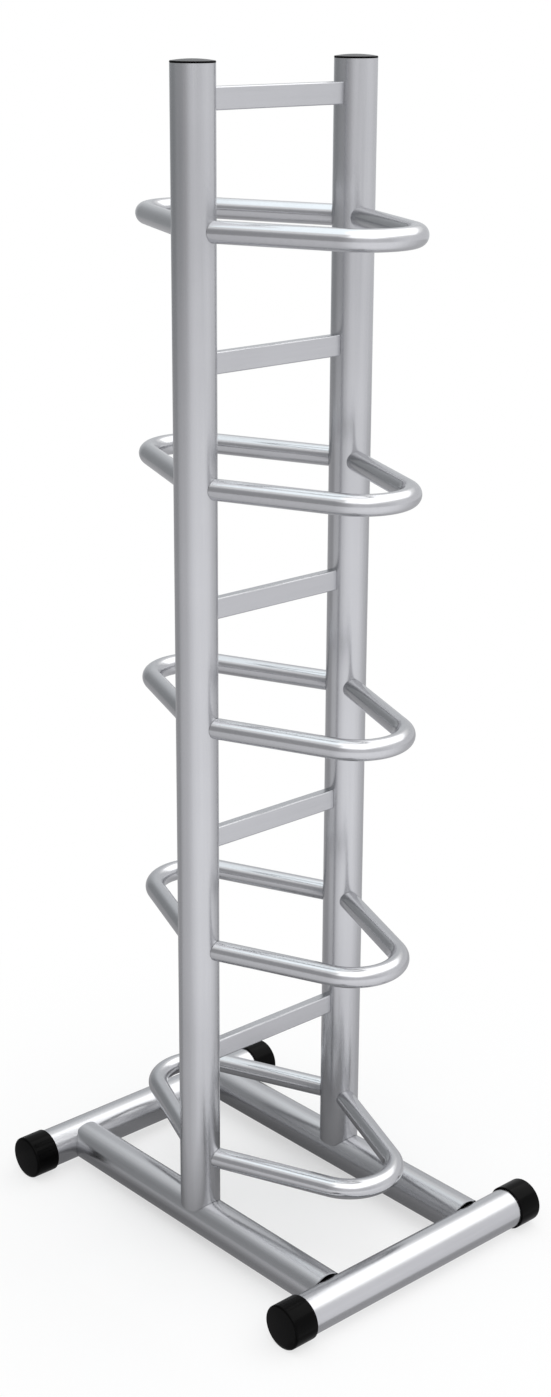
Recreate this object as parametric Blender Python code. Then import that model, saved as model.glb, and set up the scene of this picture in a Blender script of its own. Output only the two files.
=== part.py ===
"""Medicine ball rack.

Two round uprights stand on an H-shaped tube base. Five flat crossbars tie them together, and each of
the five levels carries one bent-tube hoop to the front and one to the rear, which hold ten balls.

Metres, +Z up. The origin is on the floor, midway between the feet and midway between the uprights.
+X is the front and +Y the right: the base rails run along X, the foot tubes and crossbars along Y.
"""

import math

import bmesh
import bpy
from mathutils import Matrix, Vector

# Round tube of the uprights, base rails and foot tubes
FRAME_RADIUS = 0.025
FRAME_WALL = 0.002
FRAME_SIDES = 40

# Round tube of the hoops
HOOP_RADIUS = 0.0125
HOOP_WALL = 0.0015
HOOP_SIDES = 18
HOOP_BEND_RADIUS = 0.057
HOOP_BEND_STEPS = 10
HOOP_REACH = 0.212

# Flat rectangular tube of the crossbars
BAR_HEIGHT = 0.025
BAR_THICKNESS = 0.0125
BAR_WALL = 0.0012
BAR_CORNER = 0.002
BAR_CORNER_STEPS = 3

# Layout of the frame
UPRIGHT_SPACING = 0.241
UPRIGHT_TOP = 1.4265
FOOT_SPACING = 0.504
FOOT_OVERALL_LENGTH = 0.423
COPED_END_TO_AXIS = 0.0146
LEVELS = 5
LEVEL_PITCH = 0.285
FIRST_HOOP_HEIGHT = 0.111
CROSSBAR_ABOVE_HOOP = 0.138

# Rubber caps on the ends of the foot tubes
FOOT_CAP_RADIUS = 0.0275
FOOT_CAP_LENGTH = 0.035
FOOT_CAP_END = 0.004
FOOT_CAP_ROUND = 0.003
FOOT_CAP_ROUND_STEPS = 3
FOOT_CAP_CROWN = 0.0008
FOOT_CAP_FLAT = 0.0005
FOOT_CAP_SIDES = 32

# Plastic plugs in the tops of the uprights
TOP_CAP_RIM = 0.0018
TOP_CAP_DOME = 0.0021
TOP_CAP_DOME_STEPS = 4
TOP_CAP_STEM = 0.018
TOP_CAP_STEM_WALL = 0.002
TOP_CAP_SIDES = 32

# Clearance between pieces that touch, and the lengths worked out from the values above
GAP = 0.0003
AXIS_HEIGHT = FOOT_CAP_RADIUS - FOOT_CAP_FLAT
HALF_UPRIGHTS = UPRIGHT_SPACING / 2
HALF_FEET = FOOT_SPACING / 2
HALF_FOOT_LENGTH = FOOT_OVERALL_LENGTH / 2
FOOT_TUBE_END = HALF_FOOT_LENGTH - FOOT_CAP_END - GAP

SIDES = {"left": -1, "right": 1}
FACES = {"front": 1, "rear": -1}


def clear_scene():
    """Remove whatever the scene holds."""
    for item in list(bpy.data.objects):
        bpy.data.objects.remove(item, do_unlink=True)


def principled(name, colour, roughness, metallic):
    """A plain Principled material."""
    material = bpy.data.materials.new(name)
    material.use_nodes = True
    shader = material.node_tree.nodes["Principled BSDF"]
    shader.inputs["Base Color"].default_value = (*colour, 1.0)
    shader.inputs["Roughness"].default_value = roughness
    shader.inputs["Metallic"].default_value = metallic
    return material


def finish_mesh(bm, name):
    """Turn a bmesh into a smooth-shaded mesh with its faces pointing out."""
    bmesh.ops.recalc_face_normals(bm, faces=bm.faces)
    mesh = bpy.data.meshes.new(name)
    bm.to_mesh(mesh)
    bm.free()
    mesh.shade_smooth()
    mesh.set_sharp_from_angle(angle=math.radians(35))
    return mesh


def place(name, mesh, material, location=(0, 0, 0), turn=0.0):
    """Add a named piece, turned about the vertical, with its material."""
    piece = bpy.data.objects.new(name, mesh)
    bpy.context.scene.collection.objects.link(piece)
    piece.location = location
    piece.rotation_euler = (0, 0, turn)
    if material:
        mesh.materials.clear()
        mesh.materials.append(material)
    return piece


def cut(piece, cutter):
    """Take the cutter's volume out of the piece."""
    modifier = piece.modifiers.new("cope_" + cutter.name, "BOOLEAN")
    modifier.operation = "DIFFERENCE"
    modifier.solver = "EXACT"
    modifier.object = cutter


def facing(direction):
    """Rotation that takes +Z to the given direction."""
    return Vector((0, 0, 1)).rotation_difference(Vector(direction)).to_matrix().to_4x4()


def round_section(bm, radius, wall, sides, centre, direction):
    """A flat ring of faces, the end section of a round tube."""
    matrix = Matrix.Translation(centre) @ facing(direction)
    bmesh.ops.create_circle(bm, cap_ends=True, radius=radius, segments=sides, matrix=matrix)
    open_section(bm, wall)


def rectangle_section(bm, width, height, corner, wall, centre, direction):
    """A flat frame of faces, the end section of a rectangular tube with round corners."""
    matrix = Matrix.Translation(centre) @ facing(direction)
    bmesh.ops.create_grid(bm, x_segments=1, y_segments=1, size=0.5)
    bmesh.ops.scale(bm, vec=(width, height, 1), verts=bm.verts)
    bmesh.ops.bevel(bm, geom=bm.verts, offset=corner, segments=BAR_CORNER_STEPS, profile=0.5,
                    affect="VERTICES", material=-1)
    bmesh.ops.transform(bm, matrix=matrix, verts=bm.verts)
    open_section(bm, wall)


def open_section(bm, wall):
    """Inset a filled outline by the wall thickness and open its middle."""
    middle = list(bm.faces)
    bmesh.ops.inset_region(bm, faces=middle, thickness=wall, use_boundary=True, use_even_offset=True)
    bmesh.ops.delete(bm, geom=middle, context="FACES_ONLY")


def with_borders(faces):
    """The faces with their edges and vertices, each once and in a steady order."""
    return list(dict.fromkeys(item for face in faces for item in (face, *face.edges, *face.verts)))


def only_faces(geometry):
    """The faces among a bmesh operator's results."""
    return [item for item in geometry if isinstance(item, bmesh.types.BMFace)]


def extrude(bm, faces, offset):
    """Push a section along, and return the section at the far end."""
    result = bmesh.ops.extrude_face_region(bm, geom=with_borders(faces))["geom"]
    moved = [item for item in result if isinstance(item, bmesh.types.BMVert)]
    bmesh.ops.translate(bm, verts=moved, vec=offset)
    return only_faces(result)


def straight_tube(name, radius, wall, sides, start, end):
    """A round tube between two points, open at both ends."""
    start, end = Vector(start), Vector(end)
    bm = bmesh.new()
    round_section(bm, radius, wall, sides, start, end - start)
    extrude(bm, bm.faces, end - start)
    return finish_mesh(bm, name)


def cope_cutter(name, start, end):
    """A solid rod, a gap larger than the frame tube that a piece is shaped to fit round."""
    start, end = Vector(start), Vector(end)
    bm = bmesh.new()
    matrix = Matrix.Translation(start) @ facing(end - start)
    bmesh.ops.create_circle(bm, cap_ends=True, radius=FRAME_RADIUS + GAP, segments=FRAME_SIDES,
                            matrix=matrix)
    extrude(bm, bm.faces, end - start)
    cutter = place(name, finish_mesh(bm, name), None)
    cutter.hide_render = True
    cutter.display_type = "WIRE"
    return cutter


def hoop_mesh():
    """A level hoop at height zero: a leg from each upright's axis, joined by one bend at the front."""
    bend_centre = HOOP_REACH - HOOP_RADIUS - HOOP_BEND_RADIUS
    centre_distance = math.hypot(HALF_UPRIGHTS, bend_centre)
    leg_angle = math.acos(HOOP_BEND_RADIUS / centre_distance) - math.atan2(bend_centre, HALF_UPRIGHTS)
    leg_length = math.sqrt(centre_distance ** 2 - HOOP_BEND_RADIUS ** 2)
    out = Vector((math.cos(leg_angle), math.sin(leg_angle), 0))
    back = Vector((-out.x, out.y, 0))

    bm = bmesh.new()
    round_section(bm, HOOP_RADIUS, HOOP_WALL, HOOP_SIDES, Vector((0, -HALF_UPRIGHTS, 0)), out)
    section = extrude(bm, bm.faces, out * leg_length)
    bend = bmesh.ops.spin(bm, geom=with_borders(section), cent=(bend_centre, 0, 0), axis=(0, 0, 1),
                          angle=math.pi - 2 * leg_angle, steps=HOOP_BEND_STEPS, use_duplicate=False)
    extrude(bm, only_faces(bend["geom_last"]), back * leg_length)
    return finish_mesh(bm, "hoop")


def crossbar_mesh():
    """A flat bar on edge from one upright's axis to the other's."""
    bm = bmesh.new()
    start = Vector((0, -HALF_UPRIGHTS, 0))
    rectangle_section(bm, BAR_THICKNESS, BAR_HEIGHT, BAR_CORNER, BAR_WALL, start, (0, 1, 0))
    extrude(bm, bm.faces, Vector((0, UPRIGHT_SPACING, 0)))
    return finish_mesh(bm, "crossbar")


def turned(profile, sides):
    """A closed solid turned about Z from (radius, height) points that start and end on the axis."""
    bm = bmesh.new()
    points = [bm.verts.new((radius, 0, height)) for radius, height in profile]
    edges = [bm.edges.new(pair) for pair in zip(points, points[1:])]
    bmesh.ops.spin(bm, geom=points + edges, cent=(0, 0, 0), axis=(0, 0, 1), angle=2 * math.pi,
                   steps=sides, use_merge=True, use_duplicate=False)
    bmesh.ops.remove_doubles(bm, verts=bm.verts, dist=0.00001)
    return bm


def foot_cap_mesh(side):
    """A rubber sleeve with a closed, slightly crowned end, flattened along its underside."""
    bore = FRAME_RADIUS + GAP
    shoulder = FOOT_CAP_LENGTH - FOOT_CAP_CROWN - FOOT_CAP_ROUND
    profile = [(0, FOOT_CAP_LENGTH)]
    for step in range(FOOT_CAP_ROUND_STEPS + 1):
        turn = math.pi / 2 * (1 - step / FOOT_CAP_ROUND_STEPS)
        radius = FOOT_CAP_RADIUS - FOOT_CAP_ROUND * (1 - math.cos(turn))
        profile.append((radius, shoulder + FOOT_CAP_ROUND * math.sin(turn)))
    profile += [(FOOT_CAP_RADIUS, 0), (bore, 0)]
    profile += [(bore, FOOT_CAP_LENGTH - FOOT_CAP_END), (0, FOOT_CAP_LENGTH - FOOT_CAP_END)]
    bm = turned(profile, FOOT_CAP_SIDES)
    mouth = Vector((0, side * (HALF_FOOT_LENGTH - FOOT_CAP_LENGTH), AXIS_HEIGHT))
    bmesh.ops.transform(bm, matrix=Matrix.Translation(mouth) @ facing((0, side, 0)), verts=bm.verts)

    everything = list(bm.verts) + list(bm.edges) + list(bm.faces)
    sliced = bmesh.ops.bisect_plane(bm, geom=everything, plane_co=(0, 0, 0), plane_no=(0, 0, -1),
                                    clear_outer=True)
    rim = [item for item in sliced["geom_cut"] if isinstance(item, bmesh.types.BMEdge)]
    bmesh.ops.holes_fill(bm, edges=rim)
    return finish_mesh(bm, "foot_cap")


def top_cap_mesh():
    """A domed plug: a thin rim on the tube's end and a hollow stem inside it."""
    rim_radius = FRAME_RADIUS
    stem_radius = FRAME_RADIUS - FRAME_WALL - 2 * GAP
    base = UPRIGHT_TOP + GAP
    sphere = (rim_radius ** 2 + TOP_CAP_DOME ** 2) / (2 * TOP_CAP_DOME)
    profile = [(0, base + TOP_CAP_RIM + TOP_CAP_DOME)]
    for step in range(1, TOP_CAP_DOME_STEPS + 1):
        radius = rim_radius * step / TOP_CAP_DOME_STEPS
        drop = sphere - math.sqrt(sphere ** 2 - radius ** 2)
        profile.append((radius, base + TOP_CAP_RIM + TOP_CAP_DOME - drop))
    profile += [(rim_radius, base), (stem_radius, base), (stem_radius, base - TOP_CAP_STEM)]
    profile += [(stem_radius - TOP_CAP_STEM_WALL, base - TOP_CAP_STEM)]
    profile += [(stem_radius - TOP_CAP_STEM_WALL, base), (0, base)]
    return finish_mesh(turned(profile, TOP_CAP_SIDES), "top_cap")


def build():
    """Make every piece of the rack."""
    clear_scene()
    steel = principled("silver_coated_steel", (0.60, 0.60, 0.63), 0.35, 0.8)
    rubber = principled("black_rubber", (0.015, 0.015, 0.016), 0.55, 0.0)
    plastic = principled("charcoal_plastic", (0.06, 0.06, 0.065), 0.35, 0.0)

    rail_end = HALF_FEET - COPED_END_TO_AXIS
    upright_bottom = AXIS_HEIGHT + COPED_END_TO_AXIS
    upright_cutters = {}
    rail_cutters = {}
    foot_cutters = {}
    for side, sign in SIDES.items():
        y = sign * HALF_UPRIGHTS
        upright_cutters[side] = cope_cutter("around_upright_" + side,
                                            (0, y, AXIS_HEIGHT), (0, y, UPRIGHT_TOP))
        rail_cutters[side] = cope_cutter("around_rail_" + side,
                                         (-rail_end, y, AXIS_HEIGHT), (rail_end, y, AXIS_HEIGHT))
    for face, sign in FACES.items():
        x = sign * HALF_FEET
        foot_cutters[face] = cope_cutter("around_foot_" + face, (x, -HALF_FOOT_LENGTH, AXIS_HEIGHT),
                                         (x, HALF_FOOT_LENGTH, AXIS_HEIGHT))

    # Foot tubes across the base, with a rubber cap on each end
    for face, face_sign in FACES.items():
        foot = straight_tube("foot_tube", FRAME_RADIUS, FRAME_WALL, FRAME_SIDES,
                             (0, -FOOT_TUBE_END, AXIS_HEIGHT), (0, FOOT_TUBE_END, AXIS_HEIGHT))
        place("foot_tube_" + face, foot, steel, (face_sign * HALF_FEET, 0, 0))
        for side, side_sign in SIDES.items():
            cap = foot_cap_mesh(side_sign)
            place(f"foot_cap_{face}_{side}", cap, rubber, (face_sign * HALF_FEET, 0, 0))

    # Base rails, shaped round both foot tubes, and uprights shaped round the rails
    for side, sign in SIDES.items():
        y = sign * HALF_UPRIGHTS
        rail = place("base_rail_" + side,
                     straight_tube("base_rail", FRAME_RADIUS, FRAME_WALL, FRAME_SIDES,
                                   (-rail_end, y, AXIS_HEIGHT), (rail_end, y, AXIS_HEIGHT)), steel)
        for cutter in foot_cutters.values():
            cut(rail, cutter)
        upright = place("upright_" + side,
                        straight_tube("upright", FRAME_RADIUS, FRAME_WALL, FRAME_SIDES,
                                      (0, y, upright_bottom), (0, y, UPRIGHT_TOP)), steel)
        cut(upright, rail_cutters[side])
        place("top_cap_" + side, top_cap_mesh(), plastic, (0, y, 0))

    # Levels, counted from the floor: one hoop to each face and the crossbar that the balls lean on
    hoop = hoop_mesh()
    crossbar = crossbar_mesh()
    for level in range(1, LEVELS + 1):
        height = FIRST_HOOP_HEIGHT + (level - 1) * LEVEL_PITCH
        pieces = [place(f"hoop_front_{level}", hoop, steel, (0, 0, height)),
                  place(f"hoop_rear_{level}", hoop, steel, (0, 0, height), math.pi),
                  place(f"crossbar_{level}", crossbar, steel, (0, 0, height + CROSSBAR_ABOVE_HOOP))]
        for piece in pieces:
            for cutter in upright_cutters.values():
                cut(piece, cutter)


build()
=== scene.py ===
"""The looks of the medicine ball rack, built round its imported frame.

Metres, +Z up, +X to the front and +Y to the right. Every piece rides on the one rigid body.
"""

import math

import bmesh
import bpy
from mathutils import Matrix, Vector


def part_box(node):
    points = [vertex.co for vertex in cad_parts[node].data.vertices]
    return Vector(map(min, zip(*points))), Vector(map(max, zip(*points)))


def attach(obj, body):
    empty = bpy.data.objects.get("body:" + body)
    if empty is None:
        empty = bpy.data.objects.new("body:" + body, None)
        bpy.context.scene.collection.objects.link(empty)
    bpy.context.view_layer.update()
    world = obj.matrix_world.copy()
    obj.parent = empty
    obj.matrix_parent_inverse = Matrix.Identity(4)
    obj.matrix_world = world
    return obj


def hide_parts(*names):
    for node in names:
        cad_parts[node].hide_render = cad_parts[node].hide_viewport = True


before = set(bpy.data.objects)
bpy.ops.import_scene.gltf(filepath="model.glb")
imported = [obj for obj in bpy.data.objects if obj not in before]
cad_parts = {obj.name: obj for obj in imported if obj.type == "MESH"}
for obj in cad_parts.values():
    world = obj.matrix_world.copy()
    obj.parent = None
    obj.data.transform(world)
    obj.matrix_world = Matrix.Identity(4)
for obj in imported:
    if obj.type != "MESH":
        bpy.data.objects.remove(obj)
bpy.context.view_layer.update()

# Foot tubes. Two lengths of 50 mm round steel tube lie across the front and the rear, with the base rails
# welded between them. All the rack's tubes are sprayed in one silver coat, a fine metal flake under a smooth
# satin surface; only the rails' copy is darkened a little, as painted shade.
FRAME_RADIUS = 0.025
FRAME_WALL = 0.002
FRAME_SIDES = 96
SHARP_ANGLE = math.radians(35)
COAT_DARK = (0.534, 0.538, 0.554)
COAT_LIGHT = (0.594, 0.598, 0.616)
COAT_DULLNESS = 0.21
COAT_BUMP = {"Strength": 0.25, "Distance": 0.000018}
COAT_CLOUDS_PER_METRE = 9.0
COAT_LINES_PER_METRE = 240.0
COAT_PEEL_PER_METRE = 520.0
COAT_FLAKES_PER_METRE = 5200.0
LINE_STRETCH = 0.02


class Wire:
    """A shader socket: sums on it add Math nodes, and add() puts in any other node."""

    def __init__(self, socket):
        self.socket = socket

    def add(self, kind, inputs=None, output=0, **settings):
        """Adds a node with its settings first, then the values or links of its sockets."""
        node = self.socket.id_data.nodes.new(kind)
        stops = settings.pop("stops", ())
        for name, value in settings.items():
            setattr(node, name, value)
        for index, (position, colour) in enumerate(stops):
            fresh = index >= len(node.color_ramp.elements)
            stop = node.color_ramp.elements.new(position) if fresh else node.color_ramp.elements[index]
            stop.position = position
            stop.color = (*colour, 1.0)
        for name, value in (inputs or {}).items():
            if isinstance(value, Wire):
                self.socket.id_data.links.new(value.socket, node.inputs[name])
            else:
                node.inputs[name].default_value = value
        return Wire(node.outputs[output])

    def maths(self, operation, first, second):
        """Adds a Math node on two values or wires."""
        return self.add("ShaderNodeMath", {0: first, 1: second}, operation=operation)

    def __add__(self, other):
        return self.maths("ADD", self, other)

    def __radd__(self, other):
        return self.maths("ADD", other, self)

    def __sub__(self, other):
        return self.maths("SUBTRACT", self, other)

    def __rsub__(self, other):
        return self.maths("SUBTRACT", other, self)

    def __mul__(self, other):
        return self.maths("MULTIPLY", self, other)

    def __rmul__(self, other):
        return self.maths("MULTIPLY", other, self)


def new_material(name):
    """An empty material, its object coordinates, and its shader ready for links."""
    material = bpy.data.materials.new(name)
    material.use_nodes = True
    tree = material.node_tree
    shader = tree.nodes["Principled BSDF"]
    coordinates = tree.nodes.new("ShaderNodeTexCoord")
    return material, Wire(coordinates.outputs["Object"]), shader


def noise(place, per_metre, detail=2.0):
    """A soft random pattern with about this many spots to the metre."""
    return place.add("ShaderNodeTexNoise", {"Vector": place, "Scale": per_metre, "Detail": detail})


def dimmed(colour, shade):
    """A colour with this share of its light."""
    return tuple(part * shade for part in colour)


def tinted(pattern, dark, light, low=0.3, high=0.7):
    """A colour that goes from dark to light while a pattern goes from low to high."""
    return pattern.add("ShaderNodeValToRGB", {"Fac": pattern}, stops=[(low, dark), (high, light)])


def wire_up(shader, **sockets):
    """Links or sets the shader's sockets, named with underscores for spaces."""
    for name, value in sockets.items():
        socket = shader.inputs[name.replace("_", " ")]
        if isinstance(value, Wire):
            shader.id_data.links.new(value.socket, socket)
        else:
            socket.default_value = value


def silver_coat(name, grain=(1.0, 1.0, 1.0), dullness=COAT_DULLNESS, shade=1.0):
    """Silver paint over drawn tube; a shade below one darkens its colour, as painted shade.

    The tube's own faint lines run the way that grain is small.
    """
    material, place, shader = new_material(name)
    along = place.add("ShaderNodeMapping", {"Vector": place, "Scale": grain})
    lines = noise(along, COAT_LINES_PER_METRE)
    cloud = noise(place, COAT_CLOUDS_PER_METRE)
    peel = noise(place, COAT_PEEL_PER_METRE, detail=1.0)
    flake = noise(place, COAT_FLAKES_PER_METRE, detail=1.0)
    tone = 0.5 * cloud + 0.3 * lines + 0.2 * flake
    colour = tinted(tone, dimmed(COAT_DARK, shade), dimmed(COAT_LIGHT, shade))
    height = 0.5 * peel + 0.3 * lines + 0.2 * flake
    surface = place.add("ShaderNodeBump", {"Height": height, **COAT_BUMP})
    wire_up(shader, Base_Color=colour, Roughness=dullness + 0.05 * lines + 0.04 * cloud, Metallic=1.0,
            Normal=surface)
    return material


def with_borders(faces):
    """The faces with their edges and vertices, each once and in a steady order."""
    return list(dict.fromkeys(item for face in faces for item in (face, *face.edges, *face.verts)))


def only(kind, geometry):
    """The vertices, edges or faces among a bmesh operator's results."""
    return [item for item in geometry if isinstance(item, kind)]


def aimed(direction):
    """Rotation that takes +Z to the given direction."""
    return Vector((0, 0, 1)).rotation_difference(Vector(direction)).to_matrix().to_4x4()


def hollow(bm, wall):
    """Insets a filled section by the wall's thickness and opens its middle."""
    middle = list(bm.faces)
    bmesh.ops.inset_region(bm, faces=middle, thickness=wall, use_boundary=True, use_even_offset=True)
    bmesh.ops.delete(bm, geom=middle, context="FACES_ONLY")


def round_section(bm, centre, direction, radius, wall, sides):
    """The flat ring of faces at the end of a round tube."""
    matrix = Matrix.Translation(centre) @ aimed(direction)
    bmesh.ops.create_circle(bm, cap_ends=True, radius=radius, segments=sides, matrix=matrix)
    hollow(bm, wall)


def extrude(bm, faces, offset, first=0.0, last=0.0):
    """Pushes a section along, with a ring this far from each end, and returns the far end's faces."""
    for step in (first, offset.length - first - last, last):
        if step:
            pushed = bmesh.ops.extrude_face_region(bm, geom=with_borders(faces))["geom"]
            move = offset.normalized() * step
            bmesh.ops.translate(bm, verts=only(bmesh.types.BMVert, pushed), vec=move)
            faces = only(bmesh.types.BMFace, pushed)
    return faces


def put_in_scene(bm, name, *materials):
    """Makes a finished shape an object of the scene."""
    mesh = bpy.data.meshes.new(name)
    bm.to_mesh(mesh)
    bm.free()
    for material in materials:
        mesh.materials.append(material)
    item = bpy.data.objects.new(name, mesh)
    bpy.context.scene.collection.objects.link(item)
    return item


def finish(bm, name, slot, node, *materials):
    """Makes the shape a smooth finished piece that stands for its CAD node."""
    bmesh.ops.recalc_face_normals(bm, faces=bm.faces)
    piece = put_in_scene(bm, name, *materials)
    piece.data.shade_smooth()
    piece.data.set_sharp_from_angle(angle=SHARP_ANGLE)
    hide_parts(node)
    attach(piece, "root")
    return piece


silver_across = silver_coat("silver_coat_across", grain=(1.0, LINE_STRETCH, 1.0))
foot_axis_x = {}
for face in ("front", "rear"):
    node = "foot_tube_" + face
    low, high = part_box(node)
    axis_height = (low.z + high.z) / 2
    foot_axis_x[face] = (low.x + high.x) / 2
    bm = bmesh.new()
    round_section(bm, Vector((foot_axis_x[face], low.y, axis_height)), (0, 1, 0),
                  FRAME_RADIUS, FRAME_WALL, FRAME_SIDES)
    extrude(bm, list(bm.faces), Vector((0, high.y - low.y, 0)))
    finish(bm, "silver_" + node, "coated_steel", node, silver_across)

# Foot caps. Four black rubber sleeves are pushed over the ends of the foot tubes, and the rack stands
# on them. Each is moulded with a closed, faintly crowned end, and lies a little flat on the floor.
CAP_RADIUS = 0.0275
CAP_END = 0.004
CAP_ROUND = 0.003
CAP_ROUND_STEPS = 8
CAP_CROWN = 0.0008
CAP_SIDES = 96
CAP_LIP = 0.0006
FIT_GAP = 0.0003
MERGE_DISTANCE = 0.000001
RUBBER_DARK = (0.0008, 0.0008, 0.0008)
RUBBER_LIGHT = (0.002, 0.002, 0.002)
RUBBER_BUMP = {"Strength": 0.3, "Distance": 0.00004}
RUBBER_DULLNESS = 0.15
RUBBER_GLOSS = 0.055
RUBBER_BLOOM_PER_METRE = 60.0
RUBBER_GRIT_PER_METRE = 1800.0


def black_rubber(name):
    """Moulded black rubber, with the mould's fine texture and a little bloom on it."""
    material, place, shader = new_material(name)
    cloud = noise(place, RUBBER_BLOOM_PER_METRE, detail=3.0)
    grit = noise(place, RUBBER_GRIT_PER_METRE)
    colour = tinted(0.7 * cloud + 0.3 * grit, RUBBER_DARK, RUBBER_LIGHT, low=0.35, high=0.75)
    surface = place.add("ShaderNodeBump", {"Height": grit, **RUBBER_BUMP})
    wire_up(shader, Base_Color=colour, Roughness=RUBBER_DULLNESS + 0.1 * cloud, Normal=surface,
            Specular_IOR_Level=RUBBER_GLOSS)
    return material


def turned(profile, sides):
    """A shape turned about Z from (radius, height) points, closed where they start and end on the axis."""
    bm = bmesh.new()
    points = [bm.verts.new((radius, 0, height)) for radius, height in profile]
    edges = [bm.edges.new(pair) for pair in zip(points, points[1:])]
    bmesh.ops.spin(bm, geom=points + edges, cent=(0, 0, 0), axis=(0, 0, 1), angle=2 * math.pi,
                   steps=sides, use_merge=True, use_duplicate=False)
    bmesh.ops.remove_doubles(bm, verts=bm.verts, dist=MERGE_DISTANCE)
    return bm


rubber = black_rubber("black_rubber")
for face, axis_x in foot_axis_x.items():
    for side, sign in (("left", -1), ("right", 1)):
        node = f"foot_cap_{face}_{side}"
        low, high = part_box(node)
        length = high.y - low.y
        mouth = low.y if sign > 0 else high.y
        shoulder = length - CAP_CROWN - CAP_ROUND
        profile = [(0, length)]
        for step in range(CAP_ROUND_STEPS + 1):
            turn = math.pi / 2 * (1 - step / CAP_ROUND_STEPS)
            radius = CAP_RADIUS - CAP_ROUND * (1 - math.cos(turn))
            profile.append((radius, shoulder + CAP_ROUND * math.sin(turn)))
        profile += [(CAP_RADIUS, CAP_LIP), (CAP_RADIUS - CAP_LIP, 0), (FRAME_RADIUS + FIT_GAP, 0)]
        profile += [(FRAME_RADIUS + FIT_GAP, length - CAP_END), (0, length - CAP_END)]
        bm = turned(profile, CAP_SIDES)
        matrix = Matrix.Translation((axis_x, mouth, axis_height)) @ aimed((0, sign, 0))
        bmesh.ops.transform(bm, matrix=matrix, verts=bm.verts)
        everything = list(bm.verts) + list(bm.edges) + list(bm.faces)
        sliced = bmesh.ops.bisect_plane(bm, geom=everything, plane_co=(0, 0, 0), plane_no=(0, 0, -1),
                                        clear_outer=True)
        bmesh.ops.holes_fill(bm, edges=only(bmesh.types.BMEdge, sliced["geom_cut"]))
        finish(bm, "rubber_" + node, "foot_rubber", node, rubber)

# Base rails. Two lengths of the same tube run from foot to foot. Their ends are shaped to the foot tubes
# and welded. The front cut stops short of the crown, so the tube's dark inside shows as a thin crescent.
CRESCENT = 0.003
END_RING = 0.03
FLAT_TOLERANCE = 0.00001
# The rails' coat keeps this share of its light: painted shade.
RAIL_PAINTED_SHADE = 0.91
SCALE_DARK = (0.010, 0.010, 0.010)
SCALE_LIGHT = (0.022, 0.021, 0.020)
SCALE_BUMP = {"Strength": 0.4, "Distance": 0.0001}
SCALE_DULLNESS = 0.55
SCALE_GLOSS = 0.1
SCALE_SPOTS_PER_METRE = 220.0


def fit_round(verts, along, point, axis, radius):
    """Slides a tube's end along the tube, on to the round surface of the tube that it meets."""
    along, axis = Vector(along), Vector(axis)
    run = along - axis * along.dot(axis)
    for vert in verts:
        offset = vert.co - point
        offset -= axis * offset.dot(axis)
        half = offset.dot(run) / run.length_squared
        spare = (offset.length_squared - radius ** 2) / run.length_squared
        slide = -half + math.sqrt(half ** 2 - spare)
        vert.co += along * max(slide, 0.0)


def end_verts(bm, point, direction):
    """The vertices that lie in the plane through a point across a direction."""
    direction = Vector(direction)
    return [vert for vert in bm.verts if abs((vert.co - point).dot(direction)) < FLAT_TOLERANCE]


def scale_and_shade_steel(name):
    """The unsprayed inside of a tube: dull mill scale, painted near black so that it also stands for the
    shade inside.
    """
    material, place, shader = new_material(name)
    scale = noise(place, SCALE_SPOTS_PER_METRE, detail=4.0)
    colour = tinted(scale, SCALE_DARK, SCALE_LIGHT)
    surface = place.add("ShaderNodeBump", {"Height": scale, **SCALE_BUMP})
    wire_up(shader, Base_Color=colour, Roughness=SCALE_DULLNESS + 0.2 * scale, Normal=surface,
            Specular_IOR_Level=SCALE_GLOSS)
    return material


tube_inside_scale_and_shade = scale_and_shade_steel("mill_scale_and_painted_shade_inside")
# The rails take a darkened copy of the coat: painted shade, for the darker reflections they show low by the
# floor.
rail_silver_painted_shade = silver_coat("silver_coat_lengthwise_painted_shade", grain=(LINE_STRETCH, 1.0, 1.0), shade=RAIL_PAINTED_SHADE)
upright_y = {}
for side in ("left", "right"):
    node = "base_rail_" + side
    low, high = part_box(node)
    upright_y[side] = (low.y + high.y) / 2
    bm = bmesh.new()
    rear = Vector((low.x, upright_y[side], axis_height))
    front = Vector((high.x - CRESCENT, upright_y[side], axis_height))
    round_section(bm, rear, (1, 0, 0), FRAME_RADIUS, FRAME_WALL, FRAME_SIDES)
    extrude(bm, list(bm.faces), front - rear, first=END_RING, last=END_RING)
    ends = ((rear, 1, foot_axis_x["rear"]), (front, -1, foot_axis_x["front"]))
    for end, sign, axis_x in ends:
        fit_round(end_verts(bm, end, (1, 0, 0)), (sign, 0, 0), Vector((axis_x, 0, axis_height)), (0, 1, 0),
                  FRAME_RADIUS + FIT_GAP)
    bmesh.ops.recalc_face_normals(bm, faces=bm.faces)
    # Faces that look into the tube take the near-black inside: mill scale and painted shade.
    for face in bm.faces:
        outward = face.calc_center_median() - rear
        outward.x = 0
        if outward.dot(face.normal) < 0:
            face.material_index = 1
    finish(bm, "silver_" + node, "coated_steel", node, rail_silver_painted_shade, tube_inside_scale_and_shade)

# Uprights. Two tall lengths of the same tube stand on the rails, midway along them. Their lower ends are
# shaped to the rails and welded, and their upper ends are cut square for the plugs.
silver_upright = silver_coat("silver_coat_upright", grain=(1.0, 1.0, LINE_STRETCH))
for side, y in upright_y.items():
    node = "upright_" + side
    low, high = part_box(node)
    upright_top = high.z
    bm = bmesh.new()
    bottom = Vector((0, y, low.z))
    round_section(bm, bottom, (0, 0, 1), FRAME_RADIUS, FRAME_WALL, FRAME_SIDES)
    extrude(bm, list(bm.faces), Vector((0, 0, high.z - low.z)), first=END_RING)
    fit_round(end_verts(bm, bottom, (0, 0, 1)), (0, 0, 1), Vector((0, y, axis_height)), (1, 0, 0),
              FRAME_RADIUS + FIT_GAP)
    finish(bm, "silver_" + node, "coated_steel", node, silver_upright)
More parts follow.
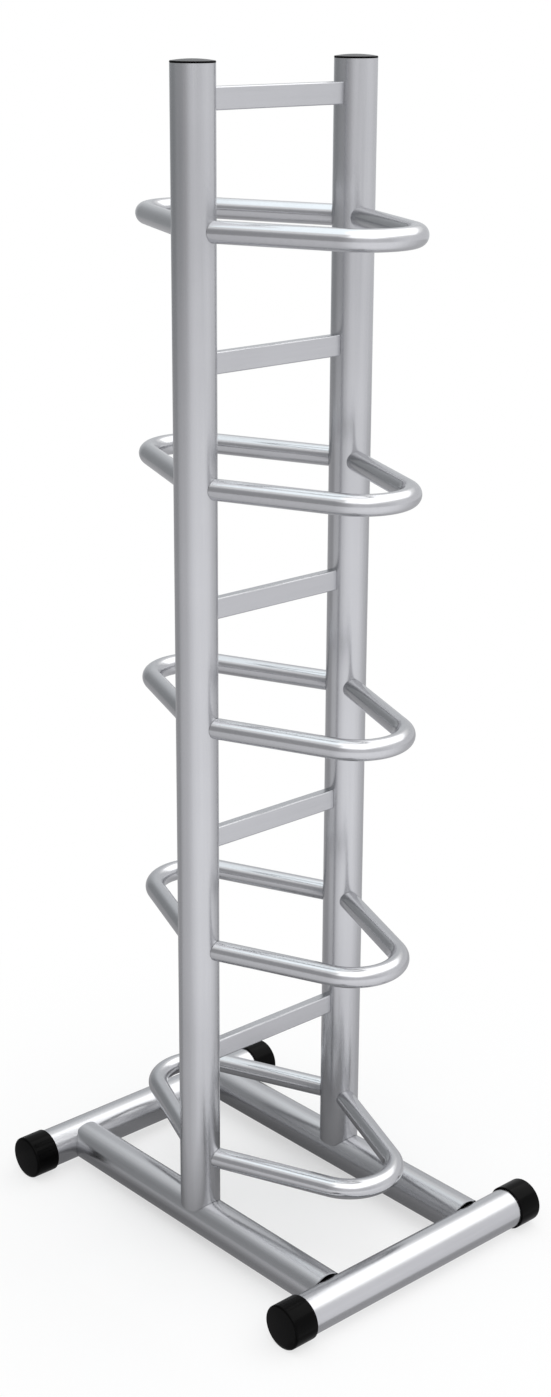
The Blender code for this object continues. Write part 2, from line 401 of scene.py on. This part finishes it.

# Top plugs. A charcoal plastic plug closes each upright: a low dome with a thin rim on the tube's end, and a
# hollow stem that is pushed down inside the tube. The rim and the stem are near black, in a darkened copy of
# the plastic: painted shade for the dark line under the dome.
PLUG_RIM = 0.0018
PLUG_DOME = 0.0021
PLUG_DOME_STEPS = 12
PLUG_EDGE = 0.0005
PLUG_STEM = 0.018
PLUG_STEM_WALL = 0.002
PLASTIC_DARK = (0.034, 0.034, 0.036)
PLASTIC_LIGHT = (0.050, 0.050, 0.053)
PLASTIC_BUMP = {"Strength": 0.3, "Distance": 0.00003}
PLASTIC_DULLNESS = 0.35
PLASTIC_GLOSS = 0.5
PLASTIC_CLOUDS_PER_METRE = 80.0
PLASTIC_GRAIN_PER_METRE = 2600.0
# The plug's rim keeps this share of the plastic's light and gloss: painted shade.
RIM_PAINTED_SHADE = 0.04


def charcoal_plastic(name, shade=1.0):
    """Moulded charcoal plastic with a fine even texture; a shade below one darkens it and dims its gloss, as
    painted shade.
    """
    material, place, shader = new_material(name)
    cloud = noise(place, PLASTIC_CLOUDS_PER_METRE)
    grain = noise(place, PLASTIC_GRAIN_PER_METRE)
    tone = 0.6 * cloud + 0.4 * grain
    colour = tinted(tone, dimmed(PLASTIC_DARK, shade), dimmed(PLASTIC_LIGHT, shade), low=0.35)
    surface = place.add("ShaderNodeBump", {"Height": grain, **PLASTIC_BUMP})
    wire_up(shader, Base_Color=colour, Roughness=PLASTIC_DULLNESS + 0.1 * cloud, Normal=surface,
            Specular_IOR_Level=PLASTIC_GLOSS * shade)
    return material


plastic = charcoal_plastic("charcoal_plastic")
rim_painted_shade_plastic = charcoal_plastic("plastic_rim_painted_shade", shade=RIM_PAINTED_SHADE)
stem_radius = FRAME_RADIUS - FRAME_WALL - 2 * FIT_GAP
rim_base = upright_top + FIT_GAP
rim_top = rim_base + PLUG_RIM
dome_radius = (FRAME_RADIUS ** 2 + PLUG_DOME ** 2) / (2 * PLUG_DOME)
for side, y in upright_y.items():
    node = "top_cap_" + side
    profile = [(0, rim_top + PLUG_DOME)]
    for step in range(1, PLUG_DOME_STEPS + 1):
        radius = (FRAME_RADIUS - PLUG_EDGE) * step / PLUG_DOME_STEPS
        drop = dome_radius - math.sqrt(dome_radius ** 2 - radius ** 2)
        profile.append((radius, rim_top + PLUG_DOME - drop))
    profile += [(FRAME_RADIUS, rim_top - PLUG_EDGE), (FRAME_RADIUS, rim_base)]
    profile += [(stem_radius, rim_base), (stem_radius, rim_base - PLUG_STEM)]
    profile += [(stem_radius - PLUG_STEM_WALL, rim_base - PLUG_STEM)]
    profile += [(stem_radius - PLUG_STEM_WALL, rim_base), (0, rim_base)]
    bm = turned(profile, FRAME_SIDES)
    # The rim and the stem take the darkened plastic, painted shade under the dome.
    for face in bm.faces:
        if face.calc_center_median().z < rim_top:
            face.material_index = 1
    bmesh.ops.translate(bm, verts=bm.verts, vec=(0, y, 0))
    finish(bm, "plastic_top_plug_" + side, "plug_plastic", node, plastic, rim_painted_shade_plastic)

# Crossbars. Five flat rectangular steel tubes on edge tie the uprights together, and the balls lean on
# them. Their ends are shaped to the uprights and welded.
BAR_HEIGHT = 0.025
BAR_THICKNESS = 0.0125
BAR_WALL = 0.0012
BAR_CORNER = 0.002
BAR_CORNER_STEPS = 12
BAR_END_RING = 0.04
BAR_FLAT_AREA = 0.0001

crossbars = sorted(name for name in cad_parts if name.startswith("crossbar_"))
for node in crossbars:
    low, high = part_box(node)
    start = Vector((0, upright_y["left"], (low.z + high.z) / 2))
    end = Vector((0, upright_y["right"], start.z))
    bm = bmesh.new()
    bmesh.ops.create_grid(bm, x_segments=1, y_segments=1, size=0.5)
    bmesh.ops.scale(bm, vec=(BAR_THICKNESS, BAR_HEIGHT, 1), verts=bm.verts)
    bmesh.ops.bevel(bm, geom=bm.verts, offset=BAR_CORNER, segments=BAR_CORNER_STEPS, profile=0.5,
                    affect="VERTICES", material=-1)
    bmesh.ops.transform(bm, matrix=Matrix.Translation(start) @ aimed((0, 1, 0)), verts=bm.verts)
    hollow(bm, BAR_WALL)
    extrude(bm, list(bm.faces), end - start, first=BAR_END_RING, last=BAR_END_RING)
    for point, sign in ((start, 1), (end, -1)):
        fit_round(end_verts(bm, point, (0, 1, 0)), (0, sign, 0), point, (0, 0, 1), FRAME_RADIUS + FIT_GAP)
    bar = finish(bm, "silver_" + node, "coated_steel", node, silver_across)
    # The four flat sides stay flat, and only the narrow faces of the rounded corners are smooth.
    for polygon in bar.data.polygons:
        polygon.use_smooth = polygon.area < BAR_FLAT_AREA

# Hoops. Ten hoops of 25 mm steel tube hold the balls, one to the front and one to the rear at each level.
# Each is bent once round a former, and its two legs are shaped to the uprights and welded.
HOOP_RADIUS = 0.0125
HOOP_WALL = 0.0015
HOOP_SIDES = 64
HOOP_BEND_RADIUS = 0.057
HOOP_BEND_STEPS = 48
HOOP_END_RING = 0.04
HOOP_BEND_RING = 0.001
HOOP_DULLNESS = 0.14

hoops = sorted(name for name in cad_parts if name.startswith("hoop_"))
half_spacing = (upright_y["right"] - upright_y["left"]) / 2
low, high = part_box(hoops[0])
bend_centre = max(high.x, -low.x) - HOOP_RADIUS - HOOP_BEND_RADIUS
centre_distance = math.hypot(half_spacing, bend_centre)
leg_angle = math.acos(HOOP_BEND_RADIUS / centre_distance) - math.atan2(bend_centre, half_spacing)
leg_length = math.sqrt(centre_distance ** 2 - HOOP_BEND_RADIUS ** 2)
out = Vector((math.cos(leg_angle), math.sin(leg_angle), 0))
back = Vector((-out.x, out.y, 0))
left = Vector((0, -half_spacing, 0))
right = Vector((0, half_spacing, 0))

silver_hoop = silver_coat("silver_coat_hoop", dullness=HOOP_DULLNESS)
for node in hoops:
    low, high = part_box(node)
    height = (low.z + high.z) / 2
    bm = bmesh.new()
    round_section(bm, left, out, HOOP_RADIUS, HOOP_WALL, HOOP_SIDES)
    bend_start = extrude(bm, list(bm.faces), out * leg_length, first=HOOP_END_RING, last=HOOP_BEND_RING)
    bend = bmesh.ops.spin(bm, geom=with_borders(bend_start), cent=(bend_centre, 0, 0), axis=(0, 0, 1),
                          angle=math.pi - 2 * leg_angle, steps=HOOP_BEND_STEPS, use_duplicate=False)
    bend_end = only(bmesh.types.BMFace, bend["geom_last"])
    extrude(bm, bend_end, back * leg_length, first=HOOP_BEND_RING, last=HOOP_END_RING)
    fit_round(end_verts(bm, left, out), out, left, (0, 0, 1), FRAME_RADIUS + FIT_GAP)
    fit_round(end_verts(bm, right, back), -back, right, (0, 0, 1), FRAME_RADIUS + FIT_GAP)
    turn = math.pi if node.startswith("hoop_rear") else 0.0
    matrix = Matrix.Translation((0, 0, height)) @ Matrix.Rotation(turn, 4, "Z")
    bmesh.ops.transform(bm, matrix=matrix, verts=bm.verts)
    finish(bm, "silver_" + node, "coated_steel", node, silver_hoop)

# Floor. A plain pale studio floor. Near the rack it shows the rack's shadow, and further off it fades into
# the white of the room. Each fade, here and below, runs from one distance to another and between two levels.
FLOOR_SIZE = 60.0
FLOOR_COLOUR = (0.95, 0.95, 0.95, 1.0)
FLOOR_DULLNESS = 0.9
FLOOR_FADE = (-0.55, 0.85, 0.0, 1.0)
WHITE = (1.0, 1.0, 1.0, 1.0)


def looked_at(tree):
    """One for what the camera, a reflection or a clear piece sees, and zero for what lights the rack."""
    path = tree.nodes.new("ShaderNodeLightPath")
    seen = Wire(path.outputs["Is Camera Ray"])
    for ray in ("Is Glossy Ray", "Is Transmission Ray"):
        seen = seen.maths("MAXIMUM", seen, Wire(path.outputs[ray]))
    return seen


def distance(place):
    """How far a point is from the foot of the rack's middle."""
    return place.add("ShaderNodeVectorMath", {0: place}, operation="LENGTH", output="Value")


def faded(value, start, end, first, last, **settings):
    """A level that goes from first to last while a value goes from start to end."""
    return value.add("ShaderNodeMapRange", {"Value": value, "From Min": start, "From Max": end,
                                            "To Min": first, "To Max": last}, **settings)


floor_paint, place, shader = new_material("pale_floor")
seen = looked_at(floor_paint.node_tree)
wire_up(shader, Base_Color=FLOOR_COLOUR, Roughness=FLOOR_DULLNESS)
fade = faded(distance(place), *FLOOR_FADE, interpolation_type="SMOOTHSTEP")
white_room = place.add("ShaderNodeEmission", {"Color": WHITE, "Strength": 1.0})
blend = place.add("ShaderNodeMixShader", {0: fade * seen, 1: Wire(shader.outputs[0]), 2: white_room})
floor_output = floor_paint.node_tree.nodes["Material Output"]
floor_paint.node_tree.links.new(blend.socket, floor_output.inputs["Surface"])
bm = bmesh.new()
bmesh.ops.create_grid(bm, x_segments=1, y_segments=1, size=FLOOR_SIZE / 2)
floor = put_in_scene(bm, "studio_floor", floor_paint)

# Light. A plain white room. Two wide soft lamps hang overhead at the front right and the front left, and
# two dimmer, cooler ones hang behind them. Each has its reach forward and across, its level and its tint.
ROOM_LEVEL = 0.6
LAMP_HEIGHT = 5.0
LAMP_TURN = math.radians(19.0)
LAMPS = {"front_lamp": ((-0.95, 6.1), (-2.5, 6.6), 0.95, (1.0, 1.0, 1.0)),
         "side_lamp": ((-0.3, 6.1), (-6.5, -2.5), 0.95, (1.0, 1.0, 1.0)),
         "rear_lamp": ((-2.1, -0.95), (-2.6, 2.6), 0.70, (0.78, 0.94, 1.0)),
         "far_lamp": ((-3.6, -2.1), (-2.4, 3.6), 0.30, (0.74, 0.93, 1.0))}

world = bpy.data.worlds.new("white_room")
bpy.context.scene.world = world
world.use_nodes = True
background = world.node_tree.nodes["Background"]
background.inputs["Color"].default_value = WHITE
level = ROOM_LEVEL + (1.0 - ROOM_LEVEL) * looked_at(world.node_tree)
world.node_tree.links.new(level.socket, background.inputs["Strength"])

for name, (forward, across, lamp_level, tint) in LAMPS.items():
    lamp_data = bpy.data.lights.new(name, "AREA")
    lamp_data.shape = "RECTANGLE"
    lamp_data.size = forward[1] - forward[0]
    lamp_data.size_y = across[1] - across[0]
    lamp_data.color = tint
    lamp_data.energy = lamp_level * math.pi * lamp_data.size * lamp_data.size_y
    lamp = bpy.data.objects.new(name, lamp_data)
    middle = Vector((sum(forward) / 2, sum(across) / 2, LAMP_HEIGHT))
    lamp.location = Matrix.Rotation(LAMP_TURN, 3, "Z") @ middle
    lamp.rotation_euler = (0, 0, LAMP_TURN)
    lamp.visible_camera = False
    bpy.context.scene.collection.objects.link(lamp)

# Grey cards of painted reflection. A glowing curved card stands right round the rack, seen only in
# reflections, and paints the room that the coat reflects: it is darkest and tallest at the rear left. Its
# foot lies on the floor, and on that lie two smaller, darker glowing cards that paint the rack's shade on
# the floor. Its tones go round from the front by the right, in degrees, and those of the smaller ones from
# left to right.
WALL_RADIUS = 6.0
WALL_NEAR = 0.05
WALL_LIFT = 0.004
WALL_HEIGHT = 3.4
WALL_RISE = 3.3
WALL_PEAK = math.radians(210.0)
WALL_STEPS = 96
# The wall card glows brighter higher up: painted light in the reflections.
WALL_FADE = (3.6, 6.6, 1.0, 2.0)
WALL_TONES = ((0, 0.76), (15, 0.84), (35, 0.92), (60, 0.86), (80, 0.80), (120, 0.71), (140, 0.73),
              (155, 0.61), (168, 0.45), (180, 0.33), (217, 0.31), (224, 0.37), (260, 0.39), (280, 0.44),
              (292, 0.56), (305, 0.72), (320, 0.78), (360, 0.76))
FOOT_HEIGHT = 0.02
# Its foot glows dimmer near the rack: painted shade in the reflections.
FOOT_FADE = (0.2, 0.9, 0.82, 1.0)
FOOT_TONES = ((0, 1.07), (20, 1.04), (40, 0.91), (60, 0.75), (80, 0.63), (100, 0.56), (120, 0.56),
              (160, 0.50), (180, 0.42), (220, 0.40), (224, 0.59), (240, 0.65), (270, 0.72), (285, 0.85),
              (300, 1.00), (320, 1.07), (360, 1.07))
CARD_BLUE = 1.025
WALL_COOL = 0.03
FOOT_COOL = 0.0
# Painted shade: the under card is darker by and between the rails and lighter to the front, and the front
# card is the shade along the front foot tube, both seen only in reflections.
UNDER_LIFT = 0.005
UNDER_FADE = (-0.1, 0.2, 1.0, 1.4)
PAINTED_SHADE_CARDS = {"painted_shade_under_card": ((-0.30, 0.258), (-0.30, 0.16),
                              ((0.0, 0.45), (0.13, 0.42), (0.22, 0.34), (0.30, 0.21), (0.60, 0.25),
                               (0.78, 0.19), (0.92, 0.12))),
               "painted_shade_front_card": ((0.258, 0.302), (-0.30, 0.30), ((0.0, 0.30), (1.0, 0.30)))}
BLACK = (0.0, 0.0, 0.0, 1.0)
MIX_FIRST = 6
MIX_SECOND = 7
MIX_RESULT = 2


def split_up(place):
    """The three coordinates of a point."""
    node = place.add("ShaderNodeSeparateXYZ", {"Vector": place}).socket.node
    return [Wire(node.outputs[axis]) for axis in "XYZ"]


def glow(shader, colour, brightness):
    """Makes a card black, with a colour and a brightness that it shows by itself."""
    lit = colour.add("ShaderNodeVectorMath", {0: colour, "Scale": brightness}, operation="SCALE")
    wire_up(shader, Base_Color=BLACK, Roughness=1.0, Specular_IOR_Level=0.0, Emission_Color=lit,
            Emission_Strength=1.0)


def hang_card(bm, name, paint):
    """Hangs a glowing card that only the reflections see, as a painted reflection."""
    card = put_in_scene(bm, name, paint)
    for kind in ("camera", "diffuse", "transmission", "shadow", "volume_scatter"):
        setattr(card, "visible_" + kind, False)


# The wall card glows in greys by direction, as painted reflections of the room.
paint, place, shader = new_material("painted_reflection_card")
ahead, aside, above = split_up(place)
swept = 0.5 + place.maths("ARCTAN2", 0.0 - aside, 0.0 - ahead) * (0.5 / math.pi)
greys = []
for tones, cool in ((WALL_TONES, WALL_COOL), (FOOT_TONES, FOOT_COOL)):
    stops = []
    for angle, tone in tones:
        red = 1.0 - cool * max(-math.cos(math.radians(angle)), 0.0)
        stops.append((angle / 360.0, (tone * red, tone, tone * CARD_BLUE)))
    greys.append(place.add("ShaderNodeValToRGB", {"Fac": swept}, stops=stops))
wall_grey, foot_grey = greys
on_wall = above.maths("GREATER_THAN", above, FOOT_HEIGHT)
grey = place.add("ShaderNodeMix", {0: on_wall, MIX_FIRST: foot_grey, MIX_SECOND: wall_grey},
                 output=MIX_RESULT, data_type="RGBA")
glow(shader, grey, faded(above, *WALL_FADE) * faded(distance(place), *FOOT_FADE))
bm = turned([(WALL_NEAR, WALL_LIFT), (WALL_RADIUS, WALL_LIFT), (WALL_RADIUS, WALL_HEIGHT)], WALL_STEPS)
for vert in bm.verts:
    if vert.co.z > FOOT_HEIGHT:
        vert.co.z += WALL_RISE * max(math.cos(math.atan2(vert.co.y, vert.co.x) - WALL_PEAK), 0.0)
hang_card(bm, "painted_reflection_card", paint)

# Each small glowing card paints the rack's shade on the floor into the reflections.
for name, ((rear, front), (near, far), tones) in PAINTED_SHADE_CARDS.items():
    paint, place, shader = new_material(name)
    ahead, aside = split_up(place)[:2]
    across = (aside - near) * (1.0 / (far - near))
    stops = [(position, (tone, tone, tone * CARD_BLUE)) for position, tone in tones]
    grey = place.add("ShaderNodeValToRGB", {"Fac": across}, stops=stops)
    glow(shader, grey, faded(ahead, *UNDER_FADE))
    bm = bmesh.new()
    corners = ((rear, near), (front, near), (front, far), (rear, far))
    bm.faces.new([bm.verts.new((x, y, UNDER_LIFT)) for x, y in corners])
    hang_card(bm, name, paint)

# Camera. It looks down at the rack from the front left, as in the photograph, with no shift or blur. Its
# place, angles and lens bring the rack's edges to where the photograph has them.
CAMERA_PLACE = (1.8238, -1.6423, 1.5183)
CAMERA_YAW = math.radians(137.949)
CAMERA_PITCH = math.radians(18.7005)
CAMERA_ROLL = math.radians(0.3072)
CAMERA_LENS = 55.343
CAMERA_SENSOR = 36.0

camera_data = bpy.data.cameras.new("photo_camera")
camera_data.lens = CAMERA_LENS
camera_data.sensor_width = CAMERA_SENSOR
camera = bpy.data.objects.new("photo_camera", camera_data)
camera.matrix_world = (Matrix.Translation(CAMERA_PLACE) @ Matrix.Rotation(CAMERA_YAW - math.pi / 2, 4, "Z")
                       @ Matrix.Rotation(math.pi / 2 - CAMERA_PITCH, 4, "X")
                       @ Matrix.Rotation(CAMERA_ROLL, 4, "Z"))
bpy.context.scene.collection.objects.link(camera)
bpy.context.scene.camera = camera
bpy.context.scene.view_settings.view_transform = "Standard"
